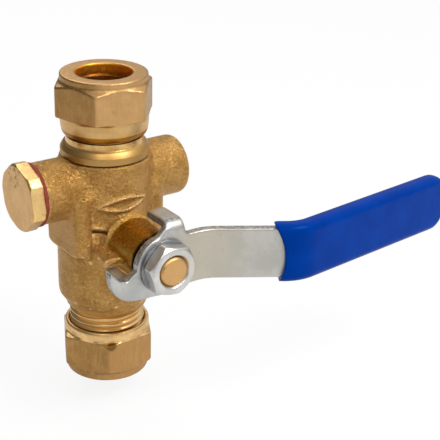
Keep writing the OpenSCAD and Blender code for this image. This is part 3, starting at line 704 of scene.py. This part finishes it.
def cutForging(made):
    s = boreShape
    top = bodyShape["topZ"]
    front = bodyShape["bossFront"]
    drainEnd = bodyShape["drainEnd"]
    cutters = [
        cylinder(s["flange"], top, top + 12),  # seat of the end piece's flange
        cylinder(s["endThread"], top - s["endDepth"], top + 1),
        cylinder(s["chamber"], stemZ + s["chamberLow"], top + 1),
        cylinder(s["water"], s["waterLow"], stemZ),
        cylinder(s["collar"], 0, s["collarDepth"], alongStem),
        cylinder(s["stem"], 0, front + 2, alongStem),
        cylinder(s["drainThread"], drainEnd - 1, drainEnd + s["drainDepth"], alongTube),
        cylinder(s["drain"], drainEnd - 1, 0, alongTube),
        cylinder(s["pipe"], s["waterLow"], s["pipeStop"]),
        makeSlot(),
    ]
    for cutter in cutters:
        combine(made, makeObject("cutter", cutter))


def weldClose(made, distance):  # tidies the slivers that the cuts leave
    bm = openMesh(made)
    bmesh.ops.remove_doubles(bm, verts=bm.verts, dist=distance)
    bmesh.ops.dissolve_degenerate(bm, edges=bm.edges, dist=distance)
    closeMesh(bm, made.data)


# foot, shoulder and land are half widths of the ridge, in pitches; the outlines trim the thread's ends
threadShape = dict(pitch=1.814, crest=10.46, root=9.32, sunk=0.25, chamfer=0.1, foot=0.47, shoulder=0.13,
                   land=0.05, steps=48)
neckThread = dict(low=6.729, high=22.0, outline=[
    (0, 7.6), (9.6, 7.6), (10.6, 8.7), (10.6, 20.0), (9.5, 20.5), (9.5, 21.5), (0, 21.5)])
endThread = dict(low=70.6, high=80.4, outline=[
    (0, 71.9), (9.9, 71.9), (10.6, 72.8), (10.6, 78.6), (9.9, 79.35), (0, 79.35)])


def makeThread(low, high, outline):
    # a helical ridge on its core, trimmed to a turned outline
    s = threadShape
    pitch, crest = s["pitch"], s["crest"]
    half = [(s["root"] - s["sunk"], s["foot"]), (crest - s["chamfer"], s["shoulder"]), (crest, s["land"])]
    ridge = [(r, -z) for r, z in half] + half[::-1]
    bm = bmesh.new()
    drawLoop(bm, [(r, low + z * pitch) for r, z in ridge])
    turns = (high - low) / pitch
    bmesh.ops.spin(bm, geom=bm.verts[:] + bm.edges[:], cent=(0, 0, 0), axis=(0, 0, 1),
                   dvec=(0, 0, pitch / s["steps"]), angle=turns * math.tau, steps=round(turns * s["steps"]))
    bmesh.ops.holes_fill(bm, edges=[e for e in bm.edges if e.is_boundary], sides=len(ridge))
    bmesh.ops.recalc_face_normals(bm, faces=bm.faces)
    thread = makeObject("thread", bm)
    combine(thread, makeObject("core", cylinder(s["root"], low, high)), "UNION")
    return combine(thread, makeObject("limit", spinProfile(outline)), "INTERSECT")


body = makeForging()
blendCreases(body)
smoothInside(body, *creaseShape["worn"], creaseShape["wornPasses"])  # wears the stop lug round
raiseLens(body)
drawPadLines(body)
smoothInside(body, *creaseShape["left"], creaseShape["leftPasses"])  # lug and boss, in front of the housing
combine(body, makeThread(**neckThread), "UNION")
cutForging(body)
weldClose(body, bodyShape["weld"])
markSharp(body, bodyShape["sharp"])
finishPiece(body, "valve", forgedBrass, ["valve_body"])
print("forged body", len(body.data.polygons), "faces")


# screwed end piece
endShape = dict(steps=128, rounding=0.12, socket=9.3, sharp=20, profile=[
    (6.2, 52.35), (9.4, 52.35), (9.4, 53.5), (7.9, 53.5), (7.9, 60.05), (10.7, 60.55), (10.7, 64.8),
    (12.0, 64.8), (12.0, 66.6), (11.15, 68.0), (10.5, 68.4), (10.5, 70.1), (9.8, 70.1), (9.8, 71.7),
    (10.2, 72.1), (10.2, 79.4), (9.05, 79.4), (7.6, 75.9), (7.6, 69.0), (6.2, 69.0)])


def makeEndPiece():
    s = endShape
    made = makeObject("endPiece", spinProfile(s["profile"], s["steps"], s["rounding"], 2))
    thread = makeThread(**endThread)
    combine(thread, makeObject("socket", cylinder(s["socket"], 70, 81)))
    combine(made, thread, "UNION")
    markSharp(made, s["sharp"])
    return made


finishPiece(makeEndPiece(), "valve", turnedBrass, ["end_piece"])


# compression nuts, the pipe hole at height 0 and the thread at the far end
nutShape = dict(height=15.2, flats=24, cornerRound=0.8, coreSteps=128, coreRound=0.2, voxel=0.26, passes=5,
                lowerTurn=3, upperTurn=50, upperZ=71.8,
                inside=[(0, -1), (7.6, -1), (7.6, 2.5), (8.85, 5.6), (8.85, 7.2), (10.56, 7.2),
                        (10.56, 14.8)])
# each nut's hexagon is trimmed to one outline and joined to another, and its thread's mouth opens by a third
upperOutline = dict(hexagon=[(0, 4.0), (14.2, 4.0), (14.2, 12.0), (12.1, 13.0), (11.7, 13.5), (0, 13.5)],
                    core=[(0, -1.2), (10.95, -1.2), (11.35, -0.7), (11.6, 0.1), (11.72, 1.0), (11.85, 2.4),
                          (11.85, 4.4), (11.5, 5), (11.7, 13), (11.7, 15.2), (0, 15.2)],
                    mouth=[(10.56, 17.5), (0, 17.5)])
lowerOutline = dict(hexagon=[(0, 2.5), (11.9, 2.5), (14.1, 3.9), (14.1, 12.3), (0, 12.5)],
                    core=[(0, 0), (11.4, 0), (11.6, 0.4), (11.6, 2.2), (11.4, 2.35), (11.4, 5), (11.9, 12),
                          (11.9, 14.6), (11.45, 15.2), (0, 15.2)],
                    mouth=[(11.0, 15.2), (12, 16.2), (0, 16.2)])
lowerDent = dict(turn=245, away=14.3, height=12.85, radius=1.5, low=-3.2, high=2.0, tilt=4)


def hexagon(flats):
    corner = flats / 2 / math.cos(math.pi / 6)
    turns = [k * math.tau / 6 for k in range(6)]
    return [(corner * math.cos(turn), corner * math.sin(turn)) for turn in turns]


def makeNut(name, outline, holeOnTop):
    s = nutShape
    sides = prism(hexagon(s["flats"]), -1, s["height"] + 1)
    roundEdges(sides, [e for e in sides.edges if span(e, 2) > 1], s["cornerRound"], 5)
    nut = makeObject(name, sides)
    combine(nut, makeObject("limit", spinProfile(outline["hexagon"])), "INTERSECT")
    core = spinProfile(outline["core"], s["coreSteps"], s["coreRound"], 2)
    combine(nut, makeObject("core", core), "UNION")
    inside = makeObject("inside", spinProfile(s["inside"] + outline["mouth"]))
    if holeOnTop:
        inside.data.transform(Matrix.Translation((0, 0, s["height"])) @ rotated(180, "X"))
        inside.data.update()
    return combine(nut, inside)


def finishNut(nut, turn, height, dent=None):
    s = nutShape
    nut.data.transform(rotated(turn, "Z"))
    if dent:
        corner = rotated(dent["turn"], "Z") @ Matrix.Translation((dent["away"], 0, dent["height"]))
        cutter = cylinder(dent["radius"], dent["low"], dent["high"], corner @ rotated(90 - dent["tilt"], "X"))
        combine(nut, makeObject("dent", cutter))
    remesh(nut, s["voxel"])
    smoothAll(nut, s["passes"])
    nut.data.transform(Matrix.Translation((0, 0, height)))
    return nut


lowerNut = finishNut(makeNut("lowerNut", lowerOutline, False), nutShape["lowerTurn"], 0, lowerDent)
finishPiece(lowerNut, "lower_nut_ring", lowerNutBrass, ["lower_nut"])
upperNut = finishNut(makeNut("upperNut", upperOutline, True), nutShape["upperTurn"], nutShape["upperZ"])
finishPiece(upperNut, "upper_nut_ring", upperNutBrass, ["upper_nut"])
print("nuts", len(upperNut.data.polygons), "faces each")


# stem, drain plug and lever nut; lengths are measured out from the pipe's axis
stemShape = dict(outline=[(0, -12), (9.6, -12), (9.6, 30), (3.98, 30), (3.98, 33.9), (3.5, 34.58), (0, 34.7)],
                 rounding=0.2, collarFace=-12.2, collarInner=5, freePlay=0.03, sharp=35)
plugShape = dict(flats=17, corner=9.15, chamfer=0.5, seat=22.6, head=3.8, thread=6.58, threadEnd=13.6,
                 turn=48, voxel=0.2, passes=3)
leverNutShape = dict(flats=12.8, corner=7.25, back=30.55, front=34.4, backChamfer=0.5, frontChamfer=0.95,
                     frontStep=0.25, hole=4.0, holeChamfer=0.75, turn=48, voxel=0.17, passes=2)


def turnedHexagon(name, flats, low, high, limit):
    head = makeObject(name, prism(hexagon(flats), low, high))
    return combine(head, makeObject("limit", spinProfile(limit)), "INTERSECT")


def makeStem():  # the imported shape, with its front end rounded over
    s = stemShape
    bm = openMesh(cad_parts["stem"])
    bmesh.ops.remove_doubles(bm, verts=bm.verts, dist=0.000001)
    bmesh.ops.scale(bm, verts=bm.verts, vec=(1 / mm,) * 3)
    collarFace = [v for v in bm.verts if abs(v.co.y - s["collarFace"]) < 0.02
                  and math.hypot(v.co.x, v.co.z - stemZ) > s["collarInner"]]
    bmesh.ops.translate(bm, verts=collarFace, vec=(0, s["freePlay"], 0))  # clears the thrust washer
    stem = makeObject("stemPiece", bm)
    limit = makeObject("limit", spinProfile(s["outline"], rounding=s["rounding"]))
    limit.data.transform(alongStem)
    combine(stem, limit, "INTERSECT")
    markSharp(stem, s["sharp"])
    for face in stem.data.polygons:
        face.use_smooth = True
    return stem


def makeDrainPlug():
    s = plugShape
    top = s["seat"] + s["head"]
    head = turnedHexagon("drainPlug", s["flats"], s["seat"], top, [
        (0, s["seat"]), (s["corner"], s["seat"]), (s["corner"], top - s["chamfer"]),
        (s["corner"] - s["chamfer"], top), (0, top)])
    shank = cylinder(s["thread"], s["threadEnd"], s["seat"] + 1)
    combine(head, makeObject("shank", shank), "UNION")
    remesh(head, s["voxel"])
    smoothAll(head, s["passes"])
    head.data.transform(Matrix.Translation((0, 0, tubeZ)) @ rotated(-90, "Y") @ rotated(-s["turn"], "Z"))
    return head


def makeLeverNut():
    s = leverNutShape
    rim = s["flats"] / 2
    front = s["front"]
    nut = turnedHexagon("leverNut", s["flats"], s["back"], front, [
        (0, s["back"]), (rim, s["back"]), (s["corner"], s["back"] + s["backChamfer"]),
        (s["corner"], front - s["frontChamfer"]), (rim - s["frontStep"], front), (0, front)])
    hole = spinProfile([
        (0, 30), (s["hole"], 30), (s["hole"], front - 0.9), (s["hole"] + s["holeChamfer"], front + 0.1),
        (0, front + 0.1)])
    combine(nut, makeObject("hole", hole))
    remesh(nut, s["voxel"])
    smoothAll(nut, s["passes"])
    nut.data.transform(alongStem @ rotated(s["turn"], "Z"))
    return nut


finishPiece(makeStem(), "lever_set", stemBrass, ["stem"])
finishPiece(makeDrainPlug(), "drain_plug_screw", plugBrass, ["drain_plug"])
finishPiece(makeLeverNut(), "lever_set", nutSteel, ["lever_nut"])


# lever, cut flat, tabs folded back, then bent along its length; heights are from the stem's axis
leverShape = dict(front=-29.8, back=-27.3, hub=8.35, half=7.15, length=93.13, hole=4.0, tabReach=-19.2,
                  voxel=0.3, passes=4, tabPasses=26, tabFrom=7.6,
                  foldLow=(0.7, 6), foldHigh=(6.6, 11.7), foldRound=3.1, innerLow=(0, 5), innerHigh=(8, 9.2),
                  lowerTabLow=(-11.7, -4.7), lowerTabHigh=(-8.55, -2.2), ear=7.85, earPlace=(-8.4, 0, -0.1),
                  earCut=[(-17, 2.4), (-13.2, -1.3), (-11.2, -1.9), (-7.9, 0.6), (-4, 2), (2, -9), (-19, -9)],
                  web=[(-8.4, -7.95), (-6.5, -8.2), (0, -8.35), (0, -2), (-8.4, -2.5)],
                  upperEar=[(-1.85, 7), (-1.85, 8.1), (0.7, 10.6), (0.7, 8.6), (6.6, 8.6), (7.2, 7), (0, 0)])
leverBends = [(10.298, 0), (6.048, -31.5), (18.23, 0), (7.257, 37.8), (70, 0)]  # in mm and degrees
hubMid = -28.55  # middle of the strip's thickness


def bendAlong(made):
    for vertex in made.data.vertices:
        left, off = vertex.co.x, vertex.co.y - hubMid
        x, y, heading = 0.0, hubMid, 0.0
        for length, degrees in leverBends:
            step = min(left, length)
            turn = math.radians(degrees) * step / length
            if degrees:
                radius = length / math.radians(degrees)
                x += radius * (math.sin(heading + turn) - math.sin(heading))
                y += radius * (math.cos(heading) - math.cos(heading + turn))
            else:
                x += step * math.cos(heading)
                y += step * math.sin(heading)
            heading += turn
            left -= step
            if left <= 0:
                break
        vertex.co.x = x - off * math.sin(heading)
        vertex.co.y = y + off * math.cos(heading)
    made.data.update()


def cutPlate(name, outline):
    # an (x, height) outline cut from the plate in front of the boss
    return makeObject(name, prism(outline, -leverShape["back"], -leverShape["front"], alongStem))


def leverBox(low, high, front, back):
    # a box between two (x, height) corners
    return box((low[0], front, stemZ + low[1]), (high[0], back, stemZ + high[1]))


def makeLever():
    s = leverShape
    front, back, tabReach = s["front"], s["back"], s["tabReach"]
    lever = makeObject("lever", cylinder(s["hub"], -back, -front, alongStem))
    ear = makeObject("ear", cylinder(s["ear"], -back, -front, Matrix.Translation(s["earPlace"]) @ alongStem))
    combine(ear, cutPlate("earCut", s["earCut"]), "INTERSECT")
    strip = makeObject("strip", leverBox((0, -s["half"]), (s["length"], s["half"]), front, back))
    web = cutPlate("web", s["web"])
    upperEar = cutPlate("upperEar", s["upperEar"])
    fold = leverBox(s["foldLow"], s["foldHigh"], front, tabReach)
    crest = [e for e in fold.edges if all(v.co.y < front + 0.1 and v.co.z > stemZ + 11 for v in e.verts)]
    roundEdges(fold, crest, s["foldRound"], 10)
    upperTab = makeObject("upperTab", fold)
    combine(upperTab, makeObject("inner", leverBox(s["innerLow"], s["innerHigh"], back, tabReach + 1)))
    lowerTab = makeObject("lowerTab", leverBox(s["lowerTabLow"], s["lowerTabHigh"], front + 1, tabReach))
    for part in (ear, strip, web, upperEar, upperTab, lowerTab):
        combine(lever, part, "UNION")
    combine(lever, makeObject("hole", cylinder(s["hole"], 26, 31, alongStem)))
    remesh(lever, s["voxel"])
    smoothAll(lever, s["passes"])
    smoothInside(lever, (-far, -far, stemZ + s["tabFrom"]), (far, far, far), s["tabPasses"])
    bendAlong(lever)
    return lever


sleeveShape = dict(mouth=34.4, hollow=2.2, mouthDrop=1.6, end=97.05, halfThick=2.9, halfHeight=8.4, tip=5.5,
                   edge=2.3, cavityFrom=20, cavityTo=93.2, cavityThick=1.25, cavityHeight=7.15, voxel=0.36,
                   passes=5)


def sleeveBox(start, end, thick, height):  # round the middle of the lever's strip
    return box((start, hubMid - thick, stemZ - height), (end, hubMid + thick, stemZ + height))


def makeSleeve():
    s = sleeveShape
    block = sleeveBox(s["mouth"] - 4, s["end"], s["halfThick"], s["halfHeight"])
    ends = [e for e in block.edges if all(v.co.x > s["end"] - 1 for v in e.verts) and span(e, 1) > 1]
    roundEdges(block, ends, s["tip"], 12)
    rims = [e for e in block.edges if span(e, 1) < 0.01 and any(v.co.x > s["mouth"] for v in e.verts)]
    roundEdges(block, rims, s["edge"], 8)
    sleeve = makeObject("gripSleeve", block)
    radius = (s["halfHeight"] ** 2 + s["hollow"] ** 2) / (2 * s["hollow"])
    hollow = Matrix.Translation((s["mouth"] - radius, 0, -s["mouthDrop"])) @ alongStem
    combine(sleeve, makeObject("mouth", cylinder(radius, 20, 40, hollow)))
    cavity = sleeveBox(s["cavityFrom"], s["cavityTo"], s["cavityThick"], s["cavityHeight"])
    combine(sleeve, makeObject("cavity", cavity))
    remesh(sleeve, s["voxel"])
    smoothAll(sleeve, s["passes"])
    bendAlong(sleeve)
    return sleeve


finishPiece(makeLever(), "lever_set", platedSteel, ["lever"])
finishPiece(makeSleeve(), "lever_set", blueVinyl, ["grip_sleeve"])
print("lever and sleeve bent")


# materials of the CAD nodes that stay as they are
cadFinishes = {"joint_ring": plain["threadSeal"], "ball": plain["platedBall"], "lock_washer": washerSteel,
               "fibre_washer": plain["redFibre"]}
for node in ("lower_seat", "upper_seat", "thrust_washer"):
    cadFinishes[node] = plain["seatWhite"]
for node in ("inner_seal_ring", "outer_seal_ring"):
    cadFinishes[node] = plain["sealRubber"]
for node in ("upper_olive", "lower_olive"):
    cadFinishes[node] = plain["oliveBrass"]
for node, material in cadFinishes.items():
    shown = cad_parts[node]
    shown.data.materials.clear()
    shown.data.materials.append(material)


# floor, world and lamps; the floor lies lower than the valve, to leave room for the lower nut's travel
studio = dict(drop=7.4, floor=0.8, paperGlow=0.88, paperShine=0.36, farShine=0.10, shineCentre=(110, -60, 0),
              shineReach=(120.0, 420.0), side=(0.75, -0.66, 0), sideReach=(-0.9, 0.7),
              sideDark=(0.26, 0.26, 0.27, 1), sideLight=(1.3, 1.3, 1.3, 1),
              sky=[(0.0, (0.30, 0.30, 0.30, 1)), (0.48, (0.34, 0.34, 0.345, 1)),
                   (0.60, (0.42, 0.42, 0.43, 1)), (0.78, (0.78, 0.78, 0.79, 1)),
                   (1.0, (0.95, 0.95, 0.95, 1))])
lamps = {
    "keyLamp": dict(place=(0.20, -0.42, 0.62), aim=(0.02, 0, 0.05), size=0.26, power=3.5),
    "fillLamp": dict(place=(-0.34, -0.36, 0.56), aim=(0, 0, 0.045), size=0.20, power=0.52),
    "rimLamp": dict(place=(0.10, 0.50, 0.60), aim=(0.02, 0, 0.05), size=0.4, power=1.2),
}


def makeFloor():
    bm = bmesh.new()
    bmesh.ops.create_grid(bm, x_segments=1, y_segments=1, size=3)
    bmesh.ops.translate(bm, verts=bm.verts, vec=(0, 0, -studio["drop"] * mm))
    floor = makeObject("floor", bm)
    material, wire, place = newMaterial("paper")
    paper = wire.node("ShaderNodeBsdfDiffuse", None, {"Color": (studio["floor"],) * 3 + (1,)})
    glow = wire.node("ShaderNodeEmission", None, {"Color": (1, 1, 1, 1), "Strength": 1.0})
    seen, mirrored, through = (wire.node("ShaderNodeLightPath", output=ray)
                               for ray in ("Is Camera Ray", "Is Glossy Ray", "Is Transmission Ray"))
    near, away = studio["shineReach"]
    reach = place.distance(studio["shineCentre"]).mapped(near, away, studio["paperShine"], studio["farShine"])
    factor = seen * studio["paperGlow"] + (mirrored + through) * reach
    wire.node("ShaderNodeMixShader", None, {0: factor.clamped(), 1: paper, 2: glow}).toOutput()
    floor.data.materials.append(material)


def makeWorld():
    # grey below and bright above, lighter on one side, and plain white to the camera
    world = bpy.data.worlds.new("studio")
    bpy.context.scene.world = world
    world.use_nodes = True
    tree = world.node_tree
    tree.nodes.clear()
    wire = Wire(tree)
    direction = wire.node("ShaderNodeTexCoord", output="Generated")
    sky = wire.node("ShaderNodeValToRGB", {"stops": studio["sky"]}, {0: direction.part(2) * 0.5 + 0.5})
    sideways = direction.towards(studio["side"]).mapped(*studio["sideReach"])
    room = wire.mixColour(sideways, studio["sideDark"], studio["sideLight"])
    glow = wire.mixColour(1.0, sky, room, "MULTIPLY")
    seen = wire.node("ShaderNodeLightPath", output="Is Camera Ray")
    colour = wire.mixColour(seen, glow, (1, 1, 1, 1))
    background = wire.node("ShaderNodeBackground", None, {"Color": colour, "Strength": 1.0})
    background.toOutput("ShaderNodeOutputWorld")


def makeLamp(name, place, aim, size, power):
    lamp = bpy.data.lights.new(name, "AREA")
    lamp.shape = "SQUARE"
    lamp.size = size
    lamp.energy = power
    made = bpy.data.objects.new(name, lamp)
    bpy.context.scene.collection.objects.link(made)
    made.location = place
    made.rotation_mode = "QUATERNION"
    made.rotation_quaternion = (Vector(aim) - Vector(place)).to_track_quat("-Z", "Y")


makeFloor()
makeWorld()
for name, lamp in lamps.items():
    makeLamp(name, **lamp)
bpy.context.scene.view_settings.view_transform = "Standard"
print("studio ready")
